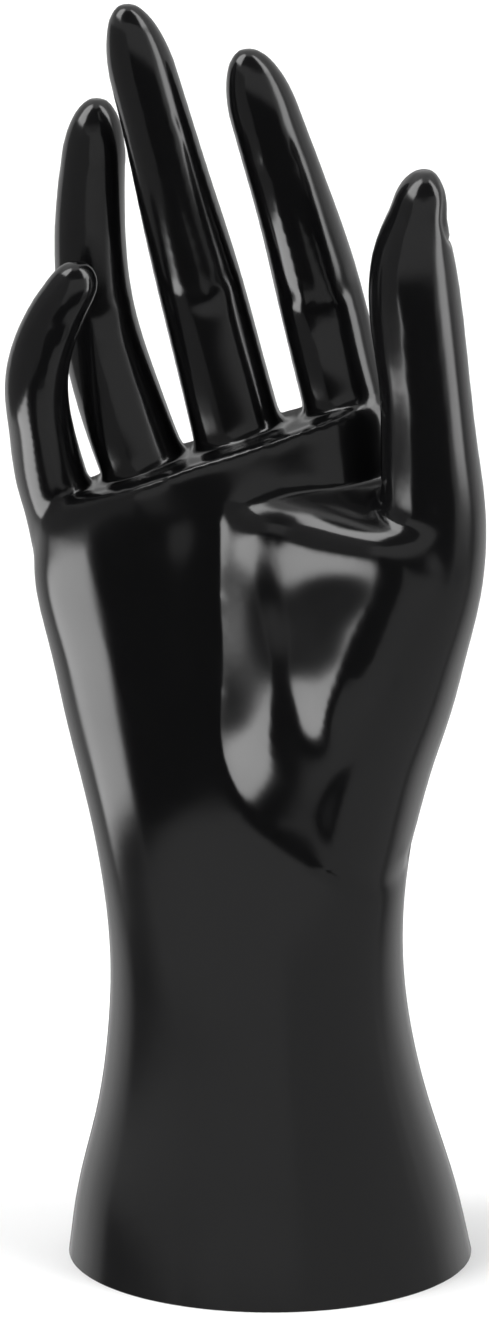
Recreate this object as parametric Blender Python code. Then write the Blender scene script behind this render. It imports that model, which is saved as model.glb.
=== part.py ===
"""A display hand for rings, bracelets and watches: one glossy moulding on a flared wrist.

The hand is a right hand with its palm towards -Y and its thumb towards +X. It stands on the flat
end of the wrist at z = 0. Sizes are in millimetres and angles in degrees; MM turns them into metres.
"""

import math
from dataclasses import dataclass

import bmesh
import bpy
import numpy as np
from mathutils import Matrix, Vector

MM = 0.001

# Wrist and palm, as cross-sections from the bench upwards
BASE_LEFT = -40.1
BASE_RIGHT = 40.8
BASE_HALF_DEPTH = 33.0
WRIST_HEIGHT = 62.0  # the narrowest place, above the bench
PALM_LENGTH = 103.5  # from the wrist to the middle of the line where the fingers part
FINGER_LINE = WRIST_HEIGHT + PALM_LENGTH
WEB_SLOPE = 0.33  # how much the line where the fingers part climbs towards the thumb
SINK = 6.0  # how far the lofts run below z = 0 before the flat end is cut

# Fingertips
TIP_RINGS = 7  # rings in each rounded end
TIP_SWEEP = 86.0  # how far round the last ring lies

# Making one skin of the lofts
VOXEL = 1.2
BLEND_STEPS = 14  # smoothing passes, which round the folds where lofts meet
TRIANGLES = 11000
RING_POINTS = 40
RING_SPACING = 1.5
FINGER_POWER = 2.1

INK = (0.012, 0.012, 0.013, 1.0)
GLOSS = 0.12


@dataclass(frozen=True)
class Section:
    """A cross-section of the wrist or the palm, level or tilted towards the thumb."""

    height: float
    left: float
    right: float
    front: float
    back: float
    slope: float = 0.0
    power: float = 2.3


@dataclass(frozen=True)
class Station:
    """A place on a finger's middle line, and the finger's half sizes there.

    side is the half width seen from the pad, and pad and nail are the depths to those two sides.
    """

    x: float
    y: float
    z: float
    side: float
    pad: float
    nail: float


@dataclass(frozen=True)
class Finger:
    """A finger's stations from the palm outwards and the length of its rounded end.

    rise is the height that its stations' z is measured from, and turn the angle by which the pad
    faces away from -Y, towards -X.
    """

    name: str
    rise: float
    stations: tuple
    tip: float
    turn: float = 0.0


@dataclass(frozen=True)
class Relief:
    """A soft rise of the palm, or a hollow where its height is negative.

    Its middle is at x, and at z from the line where the fingers part.
    """

    name: str
    x: float
    z: float
    wide: float
    tall: float
    height: float


def wrist_and_palm_sections():
    """The cross-sections from the flared end to the line where the fingers part."""
    wrist, top = WRIST_HEIGHT, FINGER_LINE
    return [
        Section(-SINK, BASE_LEFT - 0.8, BASE_RIGHT + 1.4, -BASE_HALF_DEPTH - 1.0, BASE_HALF_DEPTH + 1.3, power=2.0),
        Section(0.0, BASE_LEFT, BASE_RIGHT, -BASE_HALF_DEPTH, BASE_HALF_DEPTH, power=2.0),
        Section(wrist - 48.0, -38.1, 37.5, -30.2, 29.8, power=2.05),
        Section(wrist - 32.0, -34.3, 32.5, -27.2, 26.6, power=2.1),
        Section(wrist - 16.0, -32.0, 28.5, -24.2, 24.3, power=2.1),
        Section(wrist, -31.4, 26.6, -21.2, 22.5, power=2.15),
        Section(wrist + 15.0, -32.8, 27.1, -18.2, 21.0, power=2.2),
        Section(wrist + 31.0, -35.8, 29.0, -15.0, 19.3),
        Section(top - 56.0, -39.6, 29.0, -13.6, 17.4),
        Section(top - 42.0, -42.2, 29.4, -13.8, 15.9, 0.03),
        Section(top - 28.0, -44.6, 29.6, -14.3, 14.4, 0.12),
        Section(top - 16.0, -45.5, 28.6, -14.6, 13.0, 0.22),
        Section(top - 7.0, -45.2, 26.0, -14.4, 11.6, 0.30),
        Section(top - 2.0, -44.0, 24.0, -13.1, 9.4, WEB_SLOPE),
        Section(top, -42.0, 21.0, -10.0, 5.0, WEB_SLOPE),
    ]


PALM_RELIEF = (
    Relief("hypothenar", -28.0, -36.0, 12.0, 46.0, 1.4),
    Relief("little_root", -36.0, -18.5, 7.0, 7.0, 0.8),
    Relief("ring_root", -21.0, -13.5, 8.0, 7.0, 1.3),
    Relief("middle_root", -3.0, -8.5, 8.0, 7.0, 1.6),
    Relief("index_root", 14.0, -4.5, 8.0, 7.0, 1.8),
)

LITTLE = Finger(
    "little",
    FINGER_LINE,
    (
        Station(-36.0, 2.0, -23.5, 8.4, 8.4, 8.4),
        Station(-39.7, 0.5, -14.5, 7.5, 7.6, 7.6),
        Station(-41.8, -2.5, -6.5, 6.9, 7.0, 7.0),
        Station(-43.5, -8.5, 5.0, 6.2, 6.2, 6.3),
        Station(-44.0, -13.0, 13.5, 6.1, 6.0, 6.1),
        Station(-42.4, -16.0, 22.0, 5.7, 5.7, 5.7),
        Station(-39.2, -17.0, 29.1, 5.2, 5.2, 5.0),
        Station(-37.2, -17.3, 32.5, 4.8, 4.8, 4.5),
    ),
    tip=6.4,
)
RING = Finger(
    "ring",
    FINGER_LINE,
    (
        Station(-18.6, 3.0, -17.5, 9.0, 8.4, 8.4),
        Station(-24.0, 2.6, -5.2, 8.4, 8.2, 8.2),
        Station(-28.6, 2.0, 7.8, 8.2, 8.0, 8.0),
        Station(-31.9, 0.8, 19.5, 7.7, 7.7, 7.8),
        Station(-33.7, 0.0, 31.5, 7.1, 7.1, 7.1),
        Station(-33.9, 0.0, 46.5, 6.6, 6.5, 6.2),
        Station(-33.4, 0.0, 53.5, 6.2, 6.0, 5.5),
    ),
    tip=13.0,
)
MIDDLE = Finger(
    "middle",
    FINGER_LINE,
    (
        Station(-2.5, 3.0, -13.5, 9.2, 8.6, 8.6),
        Station(-6.1, 2.0, 1.7, 8.7, 8.4, 8.4),
        Station(-9.5, 0.0, 15.7, 8.4, 8.2, 8.1),
        Station(-13.4, -2.5, 31.5, 8.15, 7.9, 8.2),
        Station(-17.4, -7.2, 47.6, 7.4, 7.4, 7.3),
        Station(-20.7, -11.0, 61.2, 6.7, 6.8, 6.5),
        Station(-23.1, -13.2, 70.5, 6.4, 6.3, 5.8),
    ),
    tip=16.4,
)
INDEX = Finger(
    "index",
    FINGER_LINE,
    (
        Station(18.6, 2.5, -8.5, 9.0, 8.6, 8.6),
        Station(16.3, 2.0, 1.5, 8.6, 8.4, 8.4),
        Station(12.7, 0.0, 15.7, 8.3, 8.2, 8.2),
        Station(8.8, -2.0, 31.5, 8.1, 7.9, 8.1),
        Station(4.3, -7.0, 47.6, 7.3, 7.3, 7.2),
        Station(1.8, -9.0, 55.5, 6.95, 6.9, 6.6),
        Station(-0.7, -11.0, 63.3, 6.6, 6.5, 6.0),
    ),
    tip=15.2,
)
THUMB = Finger(
    "thumb",
    WRIST_HEIGHT,
    (
        Station(8.5, 4.0, -6.0, 9.0, 9.0, 9.0),
        Station(11.0, 2.0, 8.0, 12.0, 12.0, 12.0),
        Station(13.4, -0.4, 21.0, 13.4, 13.4, 13.4),
        Station(15.6, -3.2, 34.0, 14.2, 14.1, 14.1),
        Station(18.4, -6.4, 46.0, 14.6, 14.2, 14.0),
        Station(21.9, -10.4, 58.0, 14.6, 14.0, 13.7),
        Station(25.4, -14.8, 70.0, 13.6, 13.2, 12.7),
        Station(28.8, -18.6, 82.0, 12.0, 12.0, 11.6),
        Station(30.6, -21.0, 94.0, 10.2, 10.2, 10.0),
        Station(29.9, -22.5, 105.0, 9.4, 9.3, 9.2),
        Station(28.7, -24.0, 119.3, 8.7, 8.5, 8.5),
        Station(27.0, -25.5, 133.3, 8.8, 8.8, 8.5),
        Station(26.5, -26.5, 144.6, 8.2, 7.6, 7.3),
        Station(27.6, -27.0, 152.3, 6.5, 5.6, 5.0),
    ),
    tip=8.4,
    turn=75.0,
)
FINGERS = (LITTLE, RING, MIDDLE, INDEX, THUMB)

# The flesh at the thumb's root: heights above the wrist, and the palm side's outline there, x and y
# from the hollow of the palm to the thumb
THUMB_MOUND = (
    (30.0, ((-12.0, -11.0), (-7.0, -12.0), (-2.0, -13.0), (3.0, -14.0), (9.0, -15.0), (15.0, -15.0), (21.0, -12.0))),
    (38.0, ((-12.0, -11.0), (-7.5, -13.0), (-3.0, -15.0), (2.0, -16.5), (8.0, -17.5), (14.5, -18.0), (21.0, -17.0))),
    (46.0, ((-13.0, -11.0), (-9.0, -13.2), (-5.0, -16.0), (0.0, -18.6), (6.0, -20.0), (12.5, -21.0), (19.0, -20.5))),
    (54.0, ((-13.0, -11.0), (-9.0, -13.5), (-5.0, -17.0), (0.0, -20.2), (5.0, -21.6), (10.5, -23.4), (18.0, -24.0))),
    (62.0, ((-13.0, -11.0), (-9.0, -13.7), (-5.0, -17.5), (-0.5, -20.8), (4.0, -22.3), (10.0, -25.2), (18.0, -27.3))),
    (70.0, ((-13.0, -11.0), (-9.0, -13.8), (-5.0, -17.5), (-0.5, -20.6), (4.0, -22.2), (11.0, -26.6), (20.0, -29.8))),
    (78.0, ((-13.0, -11.0), (-9.0, -13.8), (-5.0, -17.2), (-0.5, -19.8), (4.5, -21.6), (12.0, -26.2), (22.0, -30.8))),
    (86.0, ((-13.0, -11.0), (-9.0, -13.8), (-5.0, -16.8), (0.0, -19.2), (6.0, -20.8), (14.0, -24.4), (24.0, -31.2))),
    (93.0, ((-13.0, -11.0), (-9.0, -13.6), (-5.0, -16.2), (0.0, -17.8), (6.5, -18.6), (14.5, -19.6), (23.0, -24.0))),
    (99.0, ((-12.0, -9.0), (-8.0, -10.5), (-4.0, -12.0), (1.0, -13.0), (7.0, -13.0), (14.0, -12.0), (20.0, -10.0))),
)
MOUND_INSIDE = 4.0  # how far behind the hand's middle plane the mound's loft is closed


def spline(knots, values, at):
    """A natural cubic spline through values, a row for each knot, read at the places in at."""
    knots = np.asarray(knots, float)
    values = np.asarray(values, float)
    count = len(knots)
    steps = np.diff(knots)
    matrix = np.eye(count)
    wanted = np.zeros_like(values)
    for i in range(1, count - 1):
        matrix[i, i - 1 : i + 2] = steps[i - 1], 2 * (steps[i - 1] + steps[i]), steps[i]
        slopes = np.diff(values[i - 1 : i + 2], axis=0) / steps[i - 1 : i + 1, None]
        wanted[i] = 6 * (slopes[1] - slopes[0])
    bends = np.linalg.solve(matrix, wanted)
    place = np.clip(np.searchsorted(knots, at) - 1, 0, count - 2)
    step = steps[place][:, None]
    late = ((at - knots[place]) / steps[place])[:, None]
    early = 1 - late
    curve = early * values[place] + late * values[place + 1]
    return curve + step**2 / 6 * ((early**3 - early) * bends[place] + (late**3 - late) * bends[place + 1])


def rounded(angle, power):
    """A unit superellipse's point: power 2 is a circle, and more is squarer."""
    across, along = math.cos(angle), math.sin(angle)
    return (
        math.copysign(abs(across) ** (2 / power), across),
        math.copysign(abs(along) ** (2 / power), along),
    )


def loft(bm, rings):
    """Adds a closed skin over rings of the same number of points, each a list of Vectors in mm."""
    made = [[bm.verts.new(point * MM) for point in ring] for ring in rings]
    for lower, upper in zip(made, made[1:]):
        for i, corner in enumerate(lower):
            before = i - 1
            bm.faces.new((lower[before], corner, upper[i], upper[before]))
    bm.faces.new(reversed(made[0]))
    bm.faces.new(made[-1])


def add_wrist_and_palm(bm):
    """The wrist and palm as one loft of level and tilted rings."""
    sections = wrist_and_palm_sections()
    heights = [s.height for s in sections]
    rows = [(s.left, s.right, s.front, s.back, s.slope, s.power) for s in sections]
    count = round((heights[-1] - heights[0]) / RING_SPACING)
    places = np.linspace(heights[0], heights[-1], count)
    rings = []
    for height, row in zip(places, spline(heights, rows, places)):
        left, right, front, back, slope, power = row
        centre, half = (left + right) / 2, (right - left) / 2
        middle, deep = (front + back) / 2, (back - front) / 2
        ring = []
        for i in range(RING_POINTS):
            across, along = rounded(math.tau * i / RING_POINTS, power)
            x = centre + half * across
            ring.append(Vector((x, middle + deep * along, height + slope * (x - centre))))
        rings.append(ring)
    loft(bm, rings)


def add_finger(bm, finger):
    """A finger as a loft along its stations, with a rounded end."""
    rows = [(s.x, s.y, finger.rise + s.z, s.side, s.pad, s.nail) for s in finger.stations]
    gaps = [(Vector(a[:3]) - Vector(b[:3])).length for a, b in zip(rows, rows[1:])]
    knots = np.cumsum([0.0] + gaps)
    places = np.linspace(0.0, knots[-1], round(knots[-1] / RING_SPACING))
    line = [(Vector(row[:3]), row[3:]) for row in spline(knots, rows, places)]
    ahead = (line[-1][0] - line[-2][0]).normalized()
    end, size = line[-1]
    for i in range(1, TIP_RINGS + 1):
        angle = math.radians(TIP_SWEEP) * i / TIP_RINGS
        line.append((end + finger.tip * math.sin(angle) * ahead, size * math.cos(angle)))
    pad_way = Matrix.Rotation(-math.radians(finger.turn), 3, "Z") @ Vector((0, -1, 0))
    rings = []
    for i, (centre, (side, pad, nail)) in enumerate(line):
        before, after = line[max(i - 1, 0)][0], line[min(i + 1, len(line) - 1)][0]
        along = (after - before).normalized()
        sideways = along.cross(pad_way).normalized()
        front = sideways.cross(along)
        ring = []
        for j in range(RING_POINTS):
            across, deep = rounded(math.tau * j / RING_POINTS, FINGER_POWER)
            reach = nail if deep > 0 else pad
            ring.append(centre + sideways * side * across - front * reach * deep)
        rings.append(ring)
    loft(bm, rings)


def add_thumb_mound(bm):
    """The flesh at the thumb's root as a loft, closed inside the hand."""
    heights = [WRIST_HEIGHT + height for height, _ in THUMB_MOUND]
    points = [np.ravel(row) for _, row in THUMB_MOUND]
    places = np.linspace(heights[0], heights[-1], round((heights[-1] - heights[0]) / RING_SPACING))
    rings = []
    for height, flat in zip(places, spline(heights, points, places)):
        row = flat.reshape(-1, 2)
        knots = np.arange(len(row), dtype=float)
        outline = spline(knots, row, np.linspace(0.0, knots[-1], RING_POINTS))
        ring = [Vector((x, y, height)) for x, y in outline]
        ring.append(Vector((row[-1][0], MOUND_INSIDE, height)))
        ring.append(Vector((row[0][0], MOUND_INSIDE, height)))
        rings.append(ring)
    loft(bm, rings)


def mesh_object(name, bm):
    """The bmesh as an object in the scene."""
    mesh = bpy.data.meshes.new(name)
    bm.to_mesh(mesh)
    bm.free()
    made = bpy.data.objects.new(name, mesh)
    bpy.context.scene.collection.objects.link(made)
    return made


def fuse(made):
    """Makes one smooth skin of the lofts."""
    remesh = made.modifiers.new("one_skin", "REMESH")
    remesh.mode = "VOXEL"
    remesh.voxel_size = VOXEL * MM
    smooth = made.modifiers.new("blend", "SMOOTH")
    smooth.factor = 0.5
    smooth.iterations = BLEND_STEPS
    apply_modifiers(made)


def shape_palm(made):
    """Moves the skin that faces the palm's side by the palm's rises and hollows."""
    mesh = made.data
    places = np.empty(len(mesh.vertices) * 3)
    facing = np.empty(len(mesh.vertices) * 3)
    mesh.vertices.foreach_get("co", places)
    mesh.vertices.foreach_get("normal", facing)
    places = places.reshape(-1, 3) / MM
    weight = np.clip(-facing.reshape(-1, 3)[:, 1], 0, 1)
    for relief in PALM_RELIEF:
        across = (places[:, 0] - relief.x) / relief.wide
        up = (places[:, 2] - FINGER_LINE - relief.z) / relief.tall
        places[:, 1] -= weight * relief.height * np.exp(-(across**2) - up**2)
    mesh.vertices.foreach_set("co", (places * MM).ravel())
    mesh.update()


def thin_out(made):
    """Thins the skin to the triangles wanted."""
    thin = made.modifiers.new("thin", "DECIMATE")
    thin.ratio = TRIANGLES / sum(len(p.vertices) - 2 for p in made.data.polygons)
    apply_modifiers(made)


def apply_modifiers(made):
    """Replaces the object's mesh with what its modifiers make of it."""
    graph = bpy.context.evaluated_depsgraph_get()
    made.data = bpy.data.meshes.new_from_object(made.evaluated_get(graph))
    made.modifiers.clear()


def cut_flat_end(made):
    """Cuts the skin level at z = 0 and closes it with one flat face."""
    bm = bmesh.new()
    bm.from_mesh(made.data)
    cut = bmesh.ops.bisect_plane(
        bm, geom=bm.verts[:] + bm.edges[:] + bm.faces[:], plane_co=(0, 0, 0), plane_no=(0, 0, 1), clear_inner=True
    )
    rim = [g for g in cut["geom_cut"] if isinstance(g, bmesh.types.BMEdge)]
    bmesh.ops.contextual_create(bm, geom=rim)
    bmesh.ops.recalc_face_normals(bm, faces=bm.faces)
    bm.to_mesh(made.data)
    bm.free()


def black_gloss():
    """The glossy black plastic of the moulding."""
    material = bpy.data.materials.new("black_gloss")
    material.use_nodes = True
    shader = material.node_tree.nodes["Principled BSDF"]
    shader.inputs["Base Color"].default_value = INK
    shader.inputs["Roughness"].default_value = GLOSS
    return material


def main():
    for old in list(bpy.data.objects):
        bpy.data.objects.remove(old)
    bm = bmesh.new()
    add_wrist_and_palm(bm)
    add_thumb_mound(bm)
    for finger in FINGERS:
        add_finger(bm, finger)
    hand = mesh_object("display_hand", bm)
    fuse(hand)
    shape_palm(hand)
    thin_out(hand)
    cut_flat_end(hand)
    hand.data.shade_smooth()
    hand.data.materials.append(black_gloss())


main()
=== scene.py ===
"""Looks of the display hand: a glossy black moulded hand on a flared wrist, in a plain white studio.

The hand is a right hand with its palm towards -Y and its thumb towards +X, and it stands on z = 0.
Sizes in the dataclasses are in millimetres and degrees; MM turns them into metres.
"""

import logging
import math
from collections.abc import Iterable
from dataclasses import dataclass, field
from enum import Enum

import bmesh
import bpy
import numpy as np
from mathutils import Matrix, Vector

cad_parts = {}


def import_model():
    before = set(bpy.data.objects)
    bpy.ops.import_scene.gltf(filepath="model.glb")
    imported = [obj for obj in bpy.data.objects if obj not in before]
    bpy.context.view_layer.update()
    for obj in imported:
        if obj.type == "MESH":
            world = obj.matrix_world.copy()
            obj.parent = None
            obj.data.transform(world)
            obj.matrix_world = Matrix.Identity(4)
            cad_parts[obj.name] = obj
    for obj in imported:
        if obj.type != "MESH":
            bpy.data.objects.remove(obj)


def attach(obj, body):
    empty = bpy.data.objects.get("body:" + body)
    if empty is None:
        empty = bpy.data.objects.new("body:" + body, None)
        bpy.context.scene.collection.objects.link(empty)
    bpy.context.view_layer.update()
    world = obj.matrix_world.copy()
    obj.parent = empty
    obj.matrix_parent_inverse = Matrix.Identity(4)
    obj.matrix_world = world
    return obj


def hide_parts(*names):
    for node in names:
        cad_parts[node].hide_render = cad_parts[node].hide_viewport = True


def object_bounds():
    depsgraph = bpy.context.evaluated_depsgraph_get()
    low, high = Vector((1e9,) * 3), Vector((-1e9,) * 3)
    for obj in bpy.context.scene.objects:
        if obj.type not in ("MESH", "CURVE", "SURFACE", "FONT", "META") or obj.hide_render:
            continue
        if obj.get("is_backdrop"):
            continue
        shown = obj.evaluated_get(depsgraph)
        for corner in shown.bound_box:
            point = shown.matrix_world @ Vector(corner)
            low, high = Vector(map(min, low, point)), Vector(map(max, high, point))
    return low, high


LOG = logging.getLogger("display_hand")
MM = 0.001
UP_AXIS = 2
RING_SPACING = 1.2
WHITE = (1.0, 1.0, 1.0, 1.0)
NODE = "display_hand"
Socket = bpy.types.NodeSocket
Value = Socket | bpy.types.Material | tuple[float, ...] | float | str
Box = tuple[Vector, Vector]
Places = Iterable[tuple[float, float, float]]


class Facing(Enum):
    """Which side of the hand a stroke is worked on, as the way that side looks."""

    PALM = (0.0, -1.0, 0.0)
    BACK = (0.0, 1.0, 0.0)
    THUMB_SIDE = (1.0, 0.0, 0.0)

    def place(self, across: float, height: float) -> Vector:
        """Puts a point of a path in the upright plane that this side looks square at.

        Args:
            across: How far along the plane the point is.
            height: Its height above the foot.

        Returns:
            The point.
        """
        if self is Facing.THUMB_SIDE:
            return Vector((0.0, across, height))
        return Vector((across, 0.0, height))

    def seen(self, place: Vector) -> float:
        """Tells how far along this side's plane a place is."""
        return place.y if self is Facing.THUMB_SIDE else place.x


@dataclass(frozen=True)
class Section:
    """A cross-section of the wrist or the palm, level or tilted towards the thumb."""

    height: float
    left: float
    right: float
    front: float
    back: float
    slope: float = 0.0
    power: float = 2.3


@dataclass(frozen=True)
class Station:
    """A place on a digit's middle line, with the digit's half sizes there.

    side is the half width seen from the pad, and pad and nail are the depths to those two sides.
    """

    x: float
    y: float
    z: float
    side: float
    pad: float
    nail: float


@dataclass(frozen=True)
class Relief:
    """A broad rise of the palm, or a hollow where its height is negative, round x and z."""

    name: str
    x: float
    z: float
    wide: float
    tall: float
    height: float


@dataclass(frozen=True)
class Stroke:
    """A groove pressed into the skin along a path, or a ridge where its height is positive.

    A path point is its place across the side, its height above the foot, and the share of the
    stroke's height that is reached there.
    """

    name: str
    path: tuple[tuple[float, float, float], ...]
    radius: float
    height: float
    facing: Facing = Facing.PALM


@dataclass(frozen=True)
class Crease:
    """A crease across the pad's side of a digit, or a soft fold where its radius is large.

    It lies from_end from the digit's end at its two ends, and sag further at its middle. shares are
    the places across the pad that it passes, and fade is what its strength would lose at the sides.
    """

    name: str
    from_end: float
    radius: float
    height: float
    sag: float = 0.0
    shares: tuple[float, ...] = (-0.9, -0.45, 0.0, 0.45, 0.9)
    fade: float = 0.5

    def points(self) -> Places:
        """Lists its places, each a distance from the digit's end, a share of its width and a strength.

        Returns:
            The places, from side to side.
        """
        return [
            (self.from_end + self.sag * (1 - share * share), share, 1 - self.fade * abs(share))
            for share in self.shares
        ]


@dataclass(frozen=True)
class SoftWindow:
    """A patch of the studio's surroundings, in degrees from straight in front and above the horizon."""

    name: str
    west: float
    east: float
    low: float
    high: float
    light: float
    soft: float = 6.0


def spline(knots: np.ndarray, values: np.ndarray, at: np.ndarray) -> np.ndarray:
    """Runs a natural cubic spline through values.

    Args:
        knots: Where the values are, rising.
        values: A row of numbers for each knot.
        at: The places to read.

    Returns:
        A row for each place.
    """
    count = len(knots)
    steps = np.diff(knots)
    matrix = np.eye(count)
    wanted = np.zeros_like(values)
    for i in range(1, count - 1):
        matrix[i, i - 1 : i + 2] = steps[i - 1], 2 * (steps[i - 1] + steps[i]), steps[i]
        slopes = np.diff(values[i - 1 : i + 2], axis=0) / steps[i - 1 : i + 1, None]
        wanted[i] = 6 * (slopes[1] - slopes[0])
    bends = np.linalg.solve(matrix, wanted)
    place = np.clip(np.searchsorted(knots, at) - 1, 0, count - 2)
    step = steps[place][:, None]
    late = ((at - knots[place]) / steps[place])[:, None]
    early = 1 - late
    curve = early * values[place] + late * values[place + 1]
    return curve + step**2 / 6 * ((early**3 - early) * bends[place] + (late**3 - late) * bends[place + 1])


def rounded(angle: float, power: float) -> tuple[float, float]:
    """Finds a point of a unit superellipse.

    Args:
        angle: Where the point is, in radians.
        power: 2 for a circle, and more for a squarer outline.

    Returns:
        The point across and along.
    """
    across, along = math.cos(angle), math.sin(angle)
    return (
        math.copysign(abs(across) ** (2 / power), across),
        math.copysign(abs(along) ** (2 / power), along),
    )


def add_loft(bm: bmesh.types.BMesh, rings: list[list[Vector]]) -> None:
    """Adds a closed skin over rings of points.

    Args:
        bm: The mesh to add to.
        rings: Rings of the same number of points, in millimetres.
    """
    made = [[bm.verts.new(point * MM) for point in ring] for ring in rings]
    for lower, upper in zip(made, made[1:]):
        for i, corner in enumerate(lower):
            before = i - 1
            bm.faces.new((lower[before], corner, upper[i], upper[before]))
    bm.faces.new(reversed(made[0]))
    bm.faces.new(made[-1])


def even_places(first: float, last: float, spacing: float) -> np.ndarray:
    """Lists places from first to last, about the spacing apart."""
    return np.linspace(first, last, round((last - first) / spacing))


def mesh_from(bm: bmesh.types.BMesh, name: str) -> bpy.types.Mesh:
    """Turns a bmesh into a new mesh and frees it.

    Args:
        bm: The bmesh.
        name: The new mesh's name.

    Returns:
        The mesh.
    """
    mesh = bpy.data.meshes.new(name)
    bm.to_mesh(mesh)
    bm.free()
    return mesh


def read_points(mesh: bpy.types.Mesh, what: str) -> np.ndarray:
    """Reads a vector of each vertex.

    Args:
        mesh: The mesh to read.
        what: The vector's name, co or normal.

    Returns:
        A row for each vertex.
    """
    flat = np.empty(len(mesh.vertices) * 3)
    mesh.vertices.foreach_get(what, flat)
    return flat.reshape(-1, 3)


def move_points(mesh: bpy.types.Mesh, places: np.ndarray) -> None:
    """Puts the vertices at the places, a row for each vertex."""
    mesh.vertices.foreach_set("co", places.ravel())
    mesh.update()


def add_object(name: str, data: bpy.types.ID) -> bpy.types.Object:
    """Links a new object that holds the data to the scene.

    Args:
        name: The object's name.
        data: Its mesh, curve or camera.

    Returns:
        The object.
    """
    made = bpy.data.objects.new(name, data)
    bpy.context.scene.collection.objects.link(made)
    return made


def settle(made: bpy.types.Object) -> None:
    """Replaces an object's mesh with what its modifiers make of it.

    Args:
        made: The object, which keeps no modifier.
    """
    graph = bpy.context.evaluated_depsgraph_get()
    made.data = bpy.data.meshes.new_from_object(made.evaluated_get(graph))
    made.modifiers.clear()


class Wiring:
    """A node tree, with short ways to add fed nodes and arithmetic."""

    def __init__(self, tree: bpy.types.NodeTree) -> None:
        """Keeps the tree."""
        self.tree = tree

    def feed(self, socket: Socket, value: Value) -> None:
        """Links an output to an input, or sets the input to a plain value.

        Args:
            socket: The input to feed.
            value: The output or the plain value.
        """
        if isinstance(value, Socket):
            self.tree.links.new(value, socket)
        else:
            socket.default_value = value

    def add(
        self, kind: str, inputs: dict[str | int, Value] | None = None, **settings: str
    ) -> bpy.types.Node:
        """Adds a node.

        Args:
            kind: The node's type, as Blender names it.
            inputs: What feeds each input that isn't left as it comes, by its name or place.
            settings: The node's own options.

        Returns:
            The node.
        """
        node = self.tree.nodes.new(kind)
        for name, option in settings.items():
            setattr(node, name, option)
        for name, value in (inputs or {}).items():
            self.feed(node.inputs[name], value)
        return node

    def maths(self, operation: str, first: Value, second: Value | None = None) -> Socket:
        """Adds a Math node.

        Args:
            operation: What the node does, as Blender names it.
            first: The first output or number.
            second: The second, where the operation takes two.

        Returns:
            The node's output.
        """
        inputs = {0: first} if second is None else {0: first, 1: second}
        return self.add("ShaderNodeMath", inputs, operation=operation).outputs["Value"]

    def vector_maths(self, operation: str, first: Socket, second: Socket) -> bpy.types.Node:
        """Adds a Vector Math node.

        Args:
            operation: What the node does, as Blender names it.
            first: The output that holds the first vector.
            second: The output that holds the second vector, or the factor of SCALE.

        Returns:
            The node.
        """
        place = "Scale" if operation == "SCALE" else 1
        return self.add("ShaderNodeVectorMath", {0: first, place: second}, operation=operation)

    def step(self, value: Value, low: float, high: float) -> Socket:
        """Rises smoothly from 0 to 1 as a value goes from low to high.

        Args:
            value: The output that holds the value.
            low: Where the rise starts.
            high: Where it ends.

        Returns:
            The output that rises.
        """
        inputs = {"Value": value, "From Min": low, "From Max": high}
        node = self.add("ShaderNodeMapRange", inputs, interpolation_type="SMOOTHSTEP")
        return node.outputs["Result"]

    def mixed(self, share: Value, first: Value, second: Value) -> Socket:
        """Adds a Mix node on numbers.

        Args:
            share: How much of the second there is.
            first: What is there where the share is 0.
            second: What is there where the share is 1.

        Returns:
            The node's output.
        """
        inputs = {"Factor": share, "A": first, "B": second}
        return self.add("ShaderNodeMix", inputs, data_type="FLOAT").outputs["Result"]


@dataclass(frozen=True)
class BlackGloss:
    """Polished black plastic, with the faint unevenness of a moulded and handled surface."""

    colour: tuple[float, float, float, float] = (0.0035, 0.0035, 0.0038, 1.0)
    gloss: float = 0.13
    dulled: float = 0.19
    ior: float = 1.5
    smear_scale: float = 38.0
    smear_detail: float = 4.0
    smear_low: float = 0.42
    smear_high: float = 0.68
    ripple_scale: float = 260.0
    ripple_height: float = 0.02
    ripple_depth: float = 0.5

    def material(self) -> bpy.types.Material:
        """Builds the finish's nodes.

        Returns:
            The material: dark, with roughness in smears and a fine ripple.
        """
        made = bpy.data.materials.new("black_gloss")
        made.use_nodes = True
        wiring = Wiring(made.node_tree)
        place = wiring.add("ShaderNodeTexCoord").outputs["Object"]
        smeared = {"Vector": place, "Scale": self.smear_scale, "Detail": self.smear_detail}
        smear = wiring.add("ShaderNodeTexNoise", smeared).outputs["Fac"]
        smear_range = {"From Min": self.smear_low, "From Max": self.smear_high}
        gloss_range = {"To Min": self.gloss, "To Max": self.dulled}
        gloss = wiring.add("ShaderNodeMapRange", {"Value": smear, **smear_range, **gloss_range})
        rippled = {"Vector": place, "Scale": self.ripple_scale}
        ripple = wiring.add("ShaderNodeTexNoise", rippled).outputs["Fac"]
        raised = {"Strength": self.ripple_height, "Distance": self.ripple_depth * MM, "Height": ripple}
        bump = wiring.add("ShaderNodeBump", raised)
        shader = made.node_tree.nodes["Principled BSDF"]
        wiring.feed(shader.inputs["Base Color"], self.colour)
        wiring.feed(shader.inputs["IOR"], self.ior)
        wiring.feed(shader.inputs["Roughness"], gloss.outputs["Result"])
        wiring.feed(shader.inputs["Normal"], bump.outputs["Normal"])
        return made


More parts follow.
